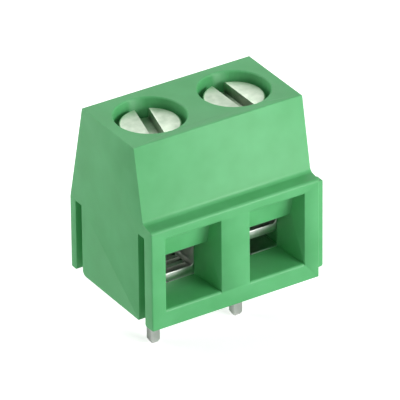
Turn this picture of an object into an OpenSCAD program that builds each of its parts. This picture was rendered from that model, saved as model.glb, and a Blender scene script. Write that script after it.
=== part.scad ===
// Two-pole screw terminal block for a printed circuit board, with rising clamping cages.
// A wire goes in at the front, through a funnel, and lies inside the cage. The screw turns
// in one place, and its thread pulls the cage up, so that the cage presses the wire against
// the bar of the contact. The contact is one bent strip, and its narrow end is the solder pin.
// Frame: +X along the row of poles, +Y to the back, +Z up. The origin is on the board plane,
// midway between the two solder pins. Millimetres.

/* [Poles] */
// Distance from one pole to the next
pitch = 5.08; // [5:0.02:6.4]

/* [Housing] */
// Height of the housing above the board
body_h = 10; // [8.3:0.1:12]
// Distance from the screw axes to the front face
front_reach = 4.1; // [3.9:0.05:5]
// Distance from the screw axes to the back face
back_reach = 3.9; // [3.8:0.05:5]
// Depth of the top face
top_d = 5; // [4.6:0.1:5.6]
// Height of the thick front plate at its front edge
ledge_h = 5.75; // [5.5:0.05:6.3]
// How much the front plate's top rises towards the slope
ledge_rise = 0.15; // [0:0.05:0.3]
// How far the front plate stands proud of the sloping face above it
ledge_d = 0.82; // [0.6:0.02:1]
// Height at which the back starts to lean forward
kink_h = 3.95; // [3:0.05:5]
// Radius of the upright outside edges and of the bend in the back
edge_r = 0.08; // [0.05:0.01:0.2]
// Radius of the front plate's upper edge
ledge_r = 0.2; // [0.1:0.01:0.25]
// Radius in the corner where the slope meets the front plate
ledge_fillet = 0.3; // [0.1:0.05:0.4]

/* [Wire funnels] */
// Width of a funnel at the front face
funnel_w = 3.3; // [3.1:0.05:3.6]
// Height of the funnel floor above the board
floor_z = 1.02; // [1:0.02:1.3]
// Height of the top of the funnel mouth
mouth_z = 5.13; // [4.6:0.01:5.2]
// Height of the lower edge of the lintel
lintel_z = 3.42; // [3.1:0.02:3.9]
// Depth of the mouth at the top of the lintel
recess_d = 0.9; // [0.7:0.05:1.1]
// How much further back the lower edge of the lintel lies
lintel_lean = 0.36; // [0:0.02:0.6]
// Draft of each funnel side wall, in degrees
draft = 3.9; // [0:0.1:5]
// Radius of the floor's back edge
sill_r = 0.12; // [0.05:0.01:0.2]
// Radius of the mouth's edges
mouth_r = 0.16; // [0.05:0.01:0.2]

/* [Side coupling] */
// Width of each coupling slot in the left side
slot_w = 0.6; // [0.5:0.02:0.7]
// How deep the coupling slots are cut
slot_in = 0.75; // [0.6:0.05:0.85]
// Thickness of the front plate in front of the slot
front_plate_t = 0.72; // [0.6:0.02:0.9]
// Thickness of the back plate behind the slot
back_plate_t = 0.55; // [0.5:0.05:0.7]
// Height of the front slot's upper end
front_slot_h = 5.15; // [4.5:0.05:5.3]
// Height of the back slot's upper end
back_slot_h = 4.15; // [3.8:0.05:4.6]
// Clearance of a tongue all round in its slot
tongue_gap = 0.04; // [0.03:0.01:0.1]

/* [Screws] */
// Thread diameter
thread_d = 2.5; // [2:0.1:2.6]
// Distance from one turn of the thread to the next
thread_pitch = 0.45; // [0.35:0.05:0.5]
// Diameter of the screw head
head_d = 3.25; // [3:0.05:3.6]
// Height of the screw head
head_h = 1.2; // [1:0.05:1.5]
// Depth of the head's top below the top face
head_recess = 0.45; // [0.3:0.05:0.8]
// Width of the driver slot
driver_w = 0.76; // [0.5:0.02:0.8]
// Depth of the driver slot
driver_d = 0.6; // [0.4:0.05:0.7]
// Direction of the left screw's driver slot from +X, in degrees
left_turn = 75; // [0:1:180]
// Direction of the right screw's driver slot from +X, in degrees
right_turn = 90; // [0:1:180]
// Diameter of the hole over each screw head
hole_d = 3.8; // [3.8:0.05:4.1]
// Thickness of the shoulder under each screw head
shoulder_t = 0.75; // [0.5:0.05:1]

/* [Cages] */
// Thickness of the cage strip
cage_t = 0.48; // [0.4:0.02:0.48]
// Outside width of a cage
cage_w = 3.95; // [3.8:0.05:4]
// Depth of a cage along the wire
cage_d = 3.2; // [3:0.05:3.4]
// How far the left cage is raised
left_lift = 0.4; // [0:0.05:2]
// How far the right cage is raised
right_lift = 1.3; // [0:0.05:2]

/* [Contacts] */
// Thickness of the contact strip
contact_t = 0.5; // [0.4:0.02:0.5]
// Width of the bar that the wire is pressed against
bar_w = 2.4; // [2:0.05:2.5]
// Width of the solder pin
pin_w = 0.5; // [0.4:0.02:0.7]
// Length of the solder pin below the board plane
pin_l = 3.5; // [2.5:0.1:5]
// How far the contact's foot reaches in front of the pin's centre
foot_reach = 0.95; // [0.6:0.05:1.4]

/* [Clearances] */
// Sideways gap between a moving piece and what guides it
guide_gap = 0.1; // [0.05:0.01:0.15]
// Gap where two pieces rest on each other
rest_gap = 0.02; // [0.01:0.005:0.05]
// Radial gap between the screw's thread and the cage's threaded hole
thread_gap = 0.04; // [0.02:0.01:0.08]

/* [Hidden] */

$fn = 64;
arc_steps = 8;                               // straight steps in a rounded corner
over = 0.5;                                  // how far a cutter runs past a face
body_w = 2 * pitch;
left_x = -pitch / 2;
right_x = pitch / 2;
front_y = -front_reach;
back_y = back_reach;

// Heights in the clamp, from the board up
cage_floor = floor_z - cage_t;               // underside of a lowered cage
bar_z = lintel_z;                            // underside of the bar
bar_top = bar_z + contact_t;
cage_in_h = bar_top + rest_gap - floor_z;    // free height inside the cage
cage_h = cage_in_h + 3 * cage_t;             // one layer below, two above
head_top = body_h - head_recess;
head_z = head_top - head_h;                  // underside of the head
seat_z = head_z - rest_gap;                  // top of the shoulder under the head
pocket_top = seat_z - shoulder_t;

// The pocket that holds a cage and a contact
pocket_w = cage_w + 2 * guide_gap;
pocket_front = -cage_d / 2 - guide_gap;
web_y = cage_d / 2 + guide_gap;              // front face of the contact's upright web
pocket_back = web_y + contact_t + rest_gap;
shoulder_w = 0.12;                           // how deep the web's shoulders sit in the wall
shoulder_drop = 0.6;                         // how far they end below the bar
groove_w = pocket_w + 2 * shoulder_w;
groove_top = bar_z - shoulder_drop;
web_w = groove_w - 2 * rest_gap;
web_top = groove_top - rest_gap;
foot_w = pocket_w - 2 * rest_gap;

// Small radii
strip_r = 0.2;                               // inside radius of a bend in the cage strip
contact_r = guide_gap;                       // the same in the contact, clear of the cage
top_edge_r = 0.06;
slot_corner_r = 0.1;                         // lower corners at the coupling slots
block_corner_r = 0.3;                        // the same on the block at the back slot
rim_r = 0.1;
head_edge_r = 0.12;

// The thread's profile
tip_chamfer = 0.3;
neck_l = 0.4;                                // plain length under the head
thread_angle = 60;
crest_w = thread_pitch / 8;
root_w = thread_pitch / 4;
thread_depth = (thread_pitch - crest_w - root_w) / 2 / tan(thread_angle / 2);

// The pin's tapered end, and the slits beside its root
pin_taper = 0.2;
pin_tip_w = 0.3;
pin_slit = 0.15;
pin_root_y = contact_r + contact_t / 2;      // where the pin's bend meets the foot

// ---------- Helpers ----------

// Points of an arc about c, from angle a0 to a1
function arc(c, r, a0, a1) =
    [for (i = [0 : arc_steps]) let (a = a0 + (a1 - a0) * i / arc_steps)
        c + r * [cos(a), sin(a)]];

function unit(v) = v / norm(v);

// The corner at p between a and b, rounded with radius r, as a list of points
function round_corner(a, p, b, r) =
    let (u = unit(a - p), v = unit(b - p),
         half = acos(u * v) / 2,
         c = p + unit(u + v) * r / sin(half),
         s = p + u * r / tan(half) - c,
         e = p + v * r / tan(half) - c,
         a0 = atan2(s[1], s[0]),
         turn = atan2(e[1], e[0]) - a0)
    arc(c, r, a0, a0 + turn - 360 * round(turn / 360));

// A closed outline of [point, radius] pairs with its corners rounded
function rounded(corners) =
    let (n = len(corners))
    [for (i = [0 : n - 1]) let (here = corners[i])
        each here[1] == 0 ? [here[0]]
            : round_corner(corners[(i + n - 1) % n][0], here[0],
                           corners[(i + 1) % n][0], here[1])];

// Extrudes an outline drawn in (Y, Z) along X, centred on X = 0
module along_x(length) {
    rotate([90, 0, 90]) linear_extrude(length, center = true) children();
}

// Extrudes an outline drawn in (X, Z) along +Y, starting at Y = from
module along_y(from, length) {
    translate([0, from + length, 0]) rotate([90, 0, 0]) linear_extrude(length) children();
}

// A quarter bend of a strip, about the origin, from +X round to +Y
module quarter_bend(r_in, t) {
    intersection() {
        difference() {
            circle(r = r_in + t);
            circle(r = r_in);
        }
        square(r_in + t);
    }
}

// ---------- Housing ----------

slope_foot = [front_y + ledge_d, ledge_h + ledge_rise];
top_front = [-top_d / 2, body_h];
top_back = [top_d / 2, body_h];
kink = [back_y, kink_h];

module side_outline() {
    polygon(rounded([
        [[front_y, 0], 0],
        [[front_y, ledge_h], ledge_r],
        [slope_foot, ledge_fillet],
        [top_front, top_edge_r],
        [top_back, top_edge_r],
        [kink, edge_r],
        [[back_y, 0], 0]]));
}

module plan_outline() {
    half = body_w / 2;
    polygon(rounded([
        [[-half, front_y], edge_r], [[half, front_y], edge_r],
        [[half, back_y], edge_r], [[-half, back_y], edge_r]]));
}

module front_outline() {
    half = body_w / 2;
    polygon(rounded([
        [[-half, 0], 0], [[half, 0], 0],
        [[half, body_h], top_edge_r], [[-half, body_h], top_edge_r]]));
}

module body_block() {
    intersection() {
        along_x(body_w) side_outline();
        linear_extrude(body_h) plan_outline();
        along_y(front_y, front_reach + back_reach) front_outline();
    }
}

// Centre lines of the coupling slots and the tongues that fit them
front_slot_y = front_y + front_plate_t + slot_w / 2;
back_slot_y = back_y - back_plate_t - slot_w / 2;

module coupling_slots() {
    for (s = [[front_slot_y, front_slot_h], [back_slot_y, back_slot_h]])
        translate([-body_w / 2 - over, s[0] - slot_w / 2, -over])
            cube([slot_in + over, slot_w, s[1] + over]);
}

module tongue(y, height) {
    tongue_w = slot_w - 2 * tongue_gap;
    reach = slot_in - tongue_gap;
    lead = 0.08;                             // slope at the lower end
    top = height - rest_gap;
    translate([body_w / 2, 0, 0])
        along_y(y - tongue_w / 2, tongue_w)
            polygon([[-over, rest_gap], [reach - lead, rest_gap],
                     [reach, rest_gap + lead], [reach, top], [-over, top]]);
}

// The rounded lower corners of the plates and of the block between the slots, on the left
module lower_corner_cuts() {
    // Place of each corner, the side of it that is solid, and its radius
    corners = [[front_slot_y - slot_w / 2, -1, slot_corner_r],
               [front_slot_y + slot_w / 2, 1, slot_corner_r],
               [back_slot_y - slot_w / 2, -1, block_corner_r],
               [back_slot_y + slot_w / 2, 1, slot_corner_r]];
    for (c = corners)
        translate([-body_w / 2 - over, c[0], 0]) scale_y(c[1]) along_corner(c[2]);
}

// Turns what stands at Y > 0 to the side that the sign gives
module scale_y(sign) {
    mirror([0, sign < 0 ? 1 : 0, 0]) children();
}

// What a rounding of radius r takes off the corner at (Y, Z) = 0, on the left side
module along_corner(r) {
    translate([0, r, r]) difference() {
        translate([0, -r - over, -r - over]) cube([slot_in + over, r + over, r + over]);
        rotate([0, 90, 0]) translate([0, 0, -over]) cylinder(r = r, h = slot_in + 3 * over);
    }
}

// The funnel is what its plan and its side view have in common
module funnel_core() {
    narrowing = tan(draft);
    half_front = funnel_w / 2 + over * narrowing;
    half_back = funnel_w / 2 - (pocket_front + over - front_y) * narrowing;
    lintel_y = front_y + recess_d;
    intersection() {
        linear_extrude(body_h)
            polygon([[-half_front, front_y - over], [half_front, front_y - over],
                     [half_back, pocket_front + over], [-half_back, pocket_front + over]]);
        along_x(2 * funnel_w)
            polygon(concat(
                [[pocket_front + over, floor_z - sill_r],
                 [pocket_front + over, lintel_z],
                 [lintel_y + lintel_lean, lintel_z],
                 [lintel_y, mouth_z],
                 [front_y - over, mouth_z],
                 [front_y - over, floor_z]],
                arc([pocket_front - sill_r, floor_z - sill_r], sill_r, 90, 0)));
    }
}

// The area between a corner at the origin and a rounding that turns out to +X at Y = 0
module flare_outline(r) {
    margin = r / 2;
    difference() {
        translate([-margin, -r]) square([r + margin, r + margin]);
        translate([r, -r]) circle(r = r);
    }
}

// Rounds the four edges of a funnel's mouth, with a flared pit at each corner
module mouth_rounding() {
    half_w = funnel_w / 2;
    size = 4 * mouth_r;                      // larger than the rounding
    for (x = [-1, 1], z = [floor_z, mouth_z])
        translate([x * half_w, front_y, z]) rotate([90, 0, 0])
            rotate_extrude() intersection() {
                flare_outline(mouth_r);
                translate([0, -size / 2]) square(size);
            }
    for (side = [0, 1]) mirror([side, 0, 0])
        translate([half_w, front_y, floor_z]) rotate([90, 0, 0])
            rotate([-90, 0, 0]) linear_extrude(mouth_z - floor_z)
                mirror([0, 1]) flare_outline(mouth_r);
    translate([0, front_y, mouth_z]) along_x(funnel_w)
        rotate(90) flare_outline(mouth_r);
    translate([0, front_y, floor_z]) along_x(funnel_w)
        mirror([0, 1]) rotate(90) flare_outline(mouth_r);
}

module wire_funnel() {
    funnel_core();
    mouth_rounding();
}

module cage_pocket() {
    translate([-pocket_w / 2, pocket_front, -over])
        cube([pocket_w, pocket_back - pocket_front, pocket_top + over]);
    translate([-groove_w / 2, web_y - rest_gap, -over])
        cube([groove_w, contact_t + 2 * rest_gap, groove_top + over]);
}

module screw_hole() {
    translate([0, 0, pocket_top - over])
        cylinder(d = thread_d + 2 * guide_gap, h = shoulder_t + 2 * over);
    translate([0, 0, seat_z]) cylinder(d = hole_d, h = body_h - seat_z + over);
    translate([0, 0, body_h]) rotate_extrude() translate([hole_d / 2, 0]) flare_outline(rim_r);
}

module housing() {
    color([0.36, 0.7, 0.44]) difference() {
        union() {
            body_block();
            tongue(front_slot_y, front_slot_h);
            tongue(back_slot_y, back_slot_h);
        }
        coupling_slots();
        lower_corner_cuts();
        for (x = [left_x, right_x]) translate([x, 0, 0]) {
            wire_funnel();
            cage_pocket();
            screw_hole();
        }
    }
}

// ---------- Cages ----------

// Front view of a cage strip: a closed loop whose two ends lie over each other on top
module cage_loop() {
    out_r = strip_r + cage_t;
    half = cage_w / 2;
    inner_top = cage_h - cage_t;             // top of the lower of the two layers
    lip = cage_t / 2;                        // how far the upper end stops short of the side
    inner_start = cage_t + strip_r / 2;      // where the lower end stops on the other side
    translate([-half + out_r, 0]) square([cage_w - 2 * out_r, cage_t]);
    translate([-half, out_r]) square([cage_t, cage_h - 2 * out_r]);
    translate([half - cage_t, out_r]) square([cage_t, inner_top - 2 * out_r]);
    translate([-half + out_r, cage_h - cage_t])
        square([cage_w - out_r - lip, cage_t]);
    translate([-half + inner_start, inner_top - cage_t])
        square([cage_w - out_r - inner_start, cage_t]);
    translate([half - out_r, out_r]) rotate(-90) quarter_bend(strip_r, cage_t);
    translate([-half + out_r, out_r]) rotate(180) quarter_bend(strip_r, cage_t);
    translate([-half + out_r, cage_h - out_r]) rotate(90) quarter_bend(strip_r, cage_t);
    translate([half - out_r, inner_top - out_r]) quarter_bend(strip_r, cage_t);
}

// Grooves across the cage's lower bar, which grip the wire
module grip_grooves() {
    groove_side = 0.18;
    groove_count = 4;
    groove_step = cage_d / (groove_count + 1);
    for (i = [1 : groove_count])
        translate([0, i * groove_step - cage_d / 2, cage_t]) rotate([45, 0, 0])
            cube([cage_w - 2 * cage_t - 2 * strip_r, groove_side, groove_side], center = true);
}

module cage(lift) {
    color([0.72, 0.73, 0.7]) translate([0, 0, cage_floor + lift]) difference() {
        along_y(-cage_d / 2, cage_d) cage_loop();
        grip_grooves();
        translate([0, 0, cage_h - 3 * cage_t])
            cylinder(d = thread_d + 2 * thread_gap, h = 4 * cage_t);
    }
}

// ---------- Contacts ----------

// Side view of the bar, the upright web and the foot, with the bends between them
module contact_path() {
    out_r = contact_r + contact_t;
    bar_front = -cage_d / 2;
    web_back = web_y + contact_t;
    bend_y = web_back - out_r;               // where both bends begin
    translate([bar_front, bar_z]) square([bend_y - bar_front, contact_t]);
    translate([bend_y, bar_top - out_r]) quarter_bend(contact_r, contact_t);
    translate([web_y, out_r]) square([contact_t, bar_top - 2 * out_r]);
    translate([bend_y, out_r]) rotate(-90) quarter_bend(contact_r, contact_t);
    translate([-foot_reach, 0]) square([bend_y + foot_reach, contact_t]);
}

// Outline of a pin of width w up to a given height, tapered to a blunt tip
module pin_outline(w, top) {
    polygon([[-pin_tip_w / 2, -pin_l], [pin_tip_w / 2, -pin_l],
             [w / 2, pin_taper - pin_l], [w / 2, top],
             [-w / 2, top], [-w / 2, pin_taper - pin_l]]);
}

// The pin, which bends down out of the foot
module pin() {
    out_r = contact_r + contact_t;
    intersection() {
        along_x(pin_w) {
            pin_outline(contact_t, contact_t - out_r);
            translate([pin_root_y, contact_t - out_r]) rotate(90)
                quarter_bend(contact_r, contact_t);
            translate([pin_root_y, 0]) square([over, contact_t]);
        }
        along_y(-contact_t, contact_t + pin_root_y + over) pin_outline(pin_w, contact_t);
    }
}

// Front view of the strip: the narrow bar above the wide web
module contact_widths() {
    translate([-bar_w / 2, 0]) square([bar_w, bar_top]);
    translate([-web_w / 2, 0]) square([web_w, web_top]);
}

// Plan of the foot with its slits beside the pin, and of the web behind it
module foot_plan() {
    window_w = pin_w + 2 * pin_slit;
    difference() {
        translate([-foot_w / 2, -cage_d]) square([foot_w, cage_d + web_y]);
        translate([-window_w / 2, -cage_d - over])
            square([window_w, cage_d + over + pin_root_y]);
    }
    translate([-web_w / 2, web_y]) square([web_w, contact_t]);
}

module contact() {
    color([0.78, 0.78, 0.76]) {
        intersection() {
            along_x(web_w) contact_path();
            along_y(-cage_d, 2 * cage_d) contact_widths();
            union() {
                linear_extrude(web_top) foot_plan();
                translate([-bar_w / 2, -cage_d, web_top - over])
                    cube([bar_w, 2 * cage_d, bar_top - web_top + 2 * over]);
            }
        }
        pin();
    }
}

// ---------- Screws ----------

// One groove of the thread, whose middle is at height z
function thread_groove(z) =
    let (half = (thread_pitch - crest_w) / 2)
    [[thread_d / 2, z - half], [thread_d / 2 - thread_depth, z - root_w / 2],
     [thread_d / 2 - thread_depth, z + root_w / 2], [thread_d / 2, z + half]];

// Half section of a screw, turned about the Z axis; the thread is a row of rings
module screw_section() {
    shank_r = thread_d / 2;
    tip_z = bar_top + rest_gap;
    thread_z = tip_z + tip_chamfer;
    turns = floor((head_z - neck_l - thread_z) / thread_pitch);
    head_r = head_d / 2;
    polygon(concat(
        [[0, tip_z], [shank_r - tip_chamfer, tip_z], [shank_r, thread_z]],
        [for (i = [1 : turns]) each thread_groove(thread_z + (i - 0.5) * thread_pitch)],
        [[shank_r, head_z], [head_r, head_z]],
        arc([head_r - head_edge_r, head_top - head_edge_r], head_edge_r, 0, 90),
        [[0, head_top]]));
}

module screw(turn) {
    color([0.75, 0.78, 0.74]) difference() {
        rotate_extrude() screw_section();
        rotate(turn) translate([0, 0, head_top])
            cube([head_d + over, driver_w, 2 * driver_d], center = true);
    }
}

housing();
translate([left_x, 0, 0]) cage(left_lift);  // cage_left
translate([right_x, 0, 0]) cage(right_lift);  // cage_right
translate([left_x, 0, 0]) contact();  // contact_left
translate([right_x, 0, 0]) contact();  // contact_right
translate([left_x, 0, 0]) screw(left_turn);  // screw_left
translate([right_x, 0, 0]) screw(right_turn);  // screw_right
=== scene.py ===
"""Looks of a two-pole screw terminal block: moulded green housing, plated screws, cages and contacts.

Everything is in metres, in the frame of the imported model: +X along the poles, +Y to the back, +Z up, with
the origin on the board plane between the two solder pins.
"""

import math

import bmesh
import bpy
from mathutils import Matrix, Vector


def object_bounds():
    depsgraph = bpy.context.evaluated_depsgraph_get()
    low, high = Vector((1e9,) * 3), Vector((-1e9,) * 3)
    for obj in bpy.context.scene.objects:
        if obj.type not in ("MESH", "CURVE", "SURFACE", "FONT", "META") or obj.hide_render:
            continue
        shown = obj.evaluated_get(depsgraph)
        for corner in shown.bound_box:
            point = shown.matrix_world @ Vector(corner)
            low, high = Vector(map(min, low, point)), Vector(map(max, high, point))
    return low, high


MM = 0.001

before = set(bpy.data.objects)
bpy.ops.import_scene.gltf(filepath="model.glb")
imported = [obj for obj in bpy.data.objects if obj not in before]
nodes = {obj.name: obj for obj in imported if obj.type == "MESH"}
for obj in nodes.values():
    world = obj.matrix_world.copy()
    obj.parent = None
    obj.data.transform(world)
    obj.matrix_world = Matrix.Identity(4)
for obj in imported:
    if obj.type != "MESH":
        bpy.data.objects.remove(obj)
cad_low, cad_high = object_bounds()

# Driving values of the look, in millimetres unless they say otherwise
BEVEL = 0.05              # rounding that the mould leaves on every edge of the housing
METAL_BEVEL = 0.025       # rounding of the stamped and turned edges
PAINTED_SHADE_REACH = 0.8         # how far from an open surface a recess of the metal gets painted shade
PAINTED_SHADE = (0.02, 0.05, 0.025)   # share of the colour that is left in the deepest recess, as painted shade
PAINTED_SHADE_FROM, PAINTED_SHADE_TO = 0.35, 0.75     # openness at which the painted shade is full, and at which it ends
EDGE_SEGMENTS = 3         # steps round an edge
EDGE_ANGLE = 32           # degrees above which an edge is rounded
WELD = 0.0005             # vertices nearer than this are one

# Sockets of a Mix node that works on colours
MIX_FACTOR, MIX_A, MIX_B, MIX_RESULT = 0, 6, 7, 2

# Lamps: square panels at one distance, aimed at the middle of the block
LAMP_DISTANCE = 150
LAMP_SIZE = 80
LAMP_TARGET = Vector((0, 0, 5))
FLOOR_SIDE = 3000
FLOOR_GLOW = 0.55         # light added to the floor for the camera, on a scale where 1 is white

# View of the camera
AZIMUTH = -32.09
ELEVATION = 29.99         # degrees above the horizon
ROLL = -0.58              # degrees
DISTANCE = 321.5
LENS = 561.9              # focal length for the sensor's 36 mm
AIM = Vector((0.071, -0.539, 4.421))


# ---------- Materials ----------

def new_material(name):
    """A node material with its tree, its shader and a helper that adds nodes."""
    material = bpy.data.materials.new(name)
    material.use_nodes = True
    tree = material.node_tree
    shader = tree.nodes["Principled BSDF"]

    def add(kind, **settings):
        node = tree.nodes.new(kind)
        for key, value in settings.items():
            if key in node.inputs:
                node.inputs[key].default_value = value
            else:
                setattr(node, key, value)
        return node

    return material, tree, shader, add


def object_space(add):
    """The place of a point in the row frame. A CAD object sits at the origin, so this is its own space."""
    return add("ShaderNodeTexCoord").outputs["Object"]


def ramp(add, low, high, start=0.3, end=0.7):
    """A colour ramp from low to high."""
    node = add("ShaderNodeValToRGB")
    node.color_ramp.elements[0].position = start
    node.color_ramp.elements[0].color = (*low, 1)
    node.color_ramp.elements[1].position = end
    node.color_ramp.elements[1].color = (*high, 1)
    return node


def noise(tree, add, place, size_mm, detail=3.0, roughness=0.5):
    """Noise whose features are about size_mm across."""
    node = add("ShaderNodeTexNoise", Scale=1 / (size_mm * MM), Detail=detail, Roughness=roughness)
    tree.links.new(place, node.inputs["Vector"])
    return node


def bump(tree, add, height, depth_mm, strength, before=None):
    """A bump of depth_mm, on top of the bump before it."""
    node = add("ShaderNodeBump", Strength=strength, Distance=depth_mm * MM)
    tree.links.new(height, node.inputs["Height"])
    if before is not None:
        tree.links.new(before.outputs["Normal"], node.inputs["Normal"])
    return node


def moulded_plastic():
    """Green polyamide: a satin skin with a fine eroded grain, faint clouding and soft waviness."""
    material, tree, shader, add = new_material("moulded_green")
    place = object_space(add)
    cloud = noise(tree, add, place, 1.6, detail=2)
    tint = ramp(add, (0.082, 0.41, 0.138), (0.106, 0.465, 0.172))
    tree.links.new(cloud.outputs["Fac"], tint.inputs["Fac"])
    tree.links.new(tint.outputs["Color"], shader.inputs["Base Color"])
    grain = noise(tree, add, place, 0.07, detail=2)
    sheen = add("ShaderNodeMapRange", **{"To Min": 0.4, "To Max": 0.52})
    tree.links.new(cloud.outputs["Fac"], sheen.inputs["Value"])
    tree.links.new(sheen.outputs["Result"], shader.inputs["Roughness"])
    wave = noise(tree, add, place, 2.4, detail=1)
    swell = bump(tree, add, wave.outputs["Fac"], 0.05, 0.25)
    skin = bump(tree, add, grain.outputs["Fac"], 0.004, 0.35, before=swell)
    tree.links.new(skin.outputs["Normal"], shader.inputs["Normal"])
    shader.inputs["IOR"].default_value = 1.5
    shader.inputs["Specular IOR Level"].default_value = 0.5
    shader.inputs["Subsurface Weight"].default_value = 0.12
    shader.inputs["Subsurface Radius"].default_value = (0.3, 1.0, 0.4)
    shader.inputs["Subsurface Scale"].default_value = 0.25 * MM
    return material


def plated(name, low, high, roughness, grain_mm, stretch=(1, 1, 1)):
    """Plated metal: a mottled coat with painted shade darkening it in the recesses, over fine marks that
    run along one way.
    """
    material, tree, shader, add = new_material(name)
    place = object_space(add)
    mottle = noise(tree, add, place, 0.5, detail=4)
    tint = ramp(add, low, high)
    tree.links.new(mottle.outputs["Fac"], tint.inputs["Fac"])
    # Painted shade: ambient occlusion darkens the metal's colour in slots and other recesses
    openness = add("ShaderNodeAmbientOcclusion", Distance=PAINTED_SHADE_REACH * MM)
    openness.only_local = True
    painted_shade_ramp = ramp(add, PAINTED_SHADE, (1, 1, 1), PAINTED_SHADE_FROM, PAINTED_SHADE_TO)
    tree.links.new(openness.outputs["AO"], painted_shade_ramp.inputs["Fac"])
    coat_with_painted_shade = add("ShaderNodeMix", data_type="RGBA", blend_type="MULTIPLY")
    coat_with_painted_shade.inputs[MIX_FACTOR].default_value = 1.0
    tree.links.new(tint.outputs["Color"], coat_with_painted_shade.inputs[MIX_A])
    tree.links.new(painted_shade_ramp.outputs["Color"], coat_with_painted_shade.inputs[MIX_B])
    tree.links.new(coat_with_painted_shade.outputs[MIX_RESULT], shader.inputs["Base Color"])
    marks_place = add("ShaderNodeMapping", Scale=stretch)
    tree.links.new(place, marks_place.inputs["Vector"])
    marks = noise(tree, add, marks_place.outputs["Vector"], grain_mm, detail=3)
    gloss = add("ShaderNodeMapRange", **{"To Min": roughness - 0.06, "To Max": roughness + 0.08})
    tree.links.new(marks.outputs["Fac"], gloss.inputs["Value"])
    tree.links.new(gloss.outputs["Result"], shader.inputs["Roughness"])
    skin = bump(tree, add, marks.outputs["Fac"], 0.004, 0.4)
    tree.links.new(skin.outputs["Normal"], shader.inputs["Normal"])
    shader.inputs["Metallic"].default_value = 1.0
    return material


def finish_cad_node(name, material, bevel_mm):
    """Gives a CAD node its material and the small roundings of its edges."""
    node = nodes[name]
    node.data.materials.clear()
    node.data.materials.append(material)
    weld = node.modifiers.new("weld", "WELD")
    weld.merge_threshold = WELD * MM
    bevel = node.modifiers.new("edges", "BEVEL")
    bevel.width = bevel_mm * MM
    bevel.segments = EDGE_SEGMENTS
    bevel.limit_method = "ANGLE"
    bevel.angle_limit = math.radians(EDGE_ANGLE)
    bevel.harden_normals = True
    for polygon in node.data.polygons:
        polygon.use_smooth = True


plastic = moulded_plastic()
zinc = plated("zinc_plate", (0.66, 0.69, 0.65), (0.78, 0.8, 0.76), 0.3, 0.12, (1, 5, 1))
tin = plated("tin_plate", (0.7, 0.71, 0.69), (0.8, 0.8, 0.78), 0.34, 0.1, (1, 1, 0.2))
# The screws' colour is tinted green as a painted reflection of the green housing around them
turned = plated("turned_zinc_green_reflection", (0.44, 0.55, 0.42), (0.62, 0.71, 0.58), 0.34, 0.1)

finish_cad_node("housing", plastic, BEVEL)
for side in ("left", "right"):
    finish_cad_node("cage_" + side, zinc, METAL_BEVEL)
    finish_cad_node("contact_" + side, tin, METAL_BEVEL)
    finish_cad_node("screw_" + side, turned, METAL_BEVEL)


# ---------- Camera, light and floor ----------

def direction(azimuth, elevation):
    """The unit vector to a place seen at these degrees, counted from -Y towards +X and up."""
    azimuth, elevation = math.radians(azimuth), math.radians(elevation)
    return Vector((math.sin(azimuth) * math.cos(elevation),
                   -math.cos(azimuth) * math.cos(elevation),
                   math.sin(elevation)))


def add_camera():
    """The camera, placed from its direction, its distance and the point it looks at."""
    back = direction(AZIMUTH, ELEVATION)
    data = bpy.data.cameras.new("camera")
    data.sensor_width = 36
    data.lens = LENS
    data.clip_start = 0.01
    data.clip_end = 10
    camera = bpy.data.objects.new("camera", data)
    bpy.context.scene.collection.objects.link(camera)
    turn = (-back).to_track_quat("-Z", "Y").to_matrix() @ Matrix.Rotation(math.radians(ROLL), 3, "Z")
    camera.matrix_world = Matrix.Translation((AIM + back * DISTANCE) * MM) @ turn.to_4x4()
    bpy.context.scene.camera = camera


def add_lamp(name, azimuth, elevation, level):
    """A square lamp aimed at the middle of the block. It lifts a white surface that faces it to level."""
    data = bpy.data.lights.new(name, "AREA")
    data.size = LAMP_SIZE * MM
    data.energy = level * (math.pi * LAMP_DISTANCE * MM) ** 2
    lamp = bpy.data.objects.new(name, data)
    bpy.context.scene.collection.objects.link(lamp)
    middle = LAMP_TARGET * MM
    lamp.location = middle + direction(azimuth, elevation) * LAMP_DISTANCE * MM
    lamp.rotation_mode = "QUATERNION"
    lamp.rotation_quaternion = (middle - lamp.location).to_track_quat("-Z", "Y")


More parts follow.
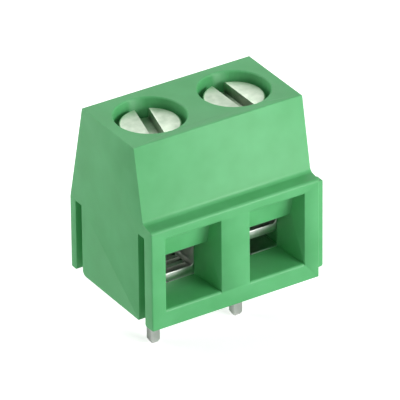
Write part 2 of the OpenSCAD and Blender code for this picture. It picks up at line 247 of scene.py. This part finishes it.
def add_floor():
    """A wide floor at the tips of the pins. The camera sees it paper white, with the shadow kept."""
    bm = bmesh.new()
    bmesh.ops.create_grid(bm, x_segments=1, y_segments=1, size=FLOOR_SIDE * MM / 2)
    mesh = bpy.data.meshes.new("floor")
    bm.to_mesh(mesh)
    bm.free()
    floor = bpy.data.objects.new("floor", mesh)
    floor.location.z = cad_low.z
    bpy.context.scene.collection.objects.link(floor)
    material, tree, shader, add = new_material("paper_floor")
    grain = noise(tree, add, object_space(add), 40)
    tint = ramp(add, (0.93, 0.93, 0.93), (0.95, 0.95, 0.95))
    tree.links.new(grain.outputs["Fac"], tint.inputs["Fac"])
    tree.links.new(tint.outputs["Color"], shader.inputs["Base Color"])
    shader.inputs["Roughness"].default_value = 0.9
    shader.inputs["Specular IOR Level"].default_value = 0.1
    shader.inputs["Emission Color"].default_value = (FLOOR_GLOW, FLOOR_GLOW, FLOOR_GLOW, 1)
    path = add("ShaderNodeLightPath")
    tree.links.new(path.outputs["Is Camera Ray"], shader.inputs["Emission Strength"])
    floor.data.materials.append(material)


def set_world(strength, backdrop):
    """A white surround: plain light on the object, and paper white for the camera and for reflections."""
    world = bpy.data.worlds.new("surround")
    bpy.context.scene.world = world
    world.use_nodes = True
    tree = world.node_tree
    background = tree.nodes["Background"]
    background.inputs["Color"].default_value = (1, 1, 1, 1)
    path = tree.nodes.new("ShaderNodeLightPath")
    mix = tree.nodes.new("ShaderNodeMix")
    mix.data_type = "FLOAT"
    mix.inputs["A"].default_value = strength
    mix.inputs["B"].default_value = backdrop
    seen = tree.nodes.new("ShaderNodeMath")
    seen.operation = "MAXIMUM"
    tree.links.new(path.outputs["Is Camera Ray"], seen.inputs[0])
    tree.links.new(path.outputs["Is Glossy Ray"], seen.inputs[1])
    tree.links.new(seen.outputs["Value"], mix.inputs["Factor"])
    tree.links.new(mix.outputs["Result"], background.inputs["Strength"])


add_camera()
add_floor()
set_world(0.28, 1.0)
add_lamp("key", 27, 14, 0.84)
add_lamp("fill", -130, 10, 0.36)
add_lamp("rim", 180, 58, 0.33)

scene = bpy.context.scene
scene.view_settings.view_transform = "Standard"
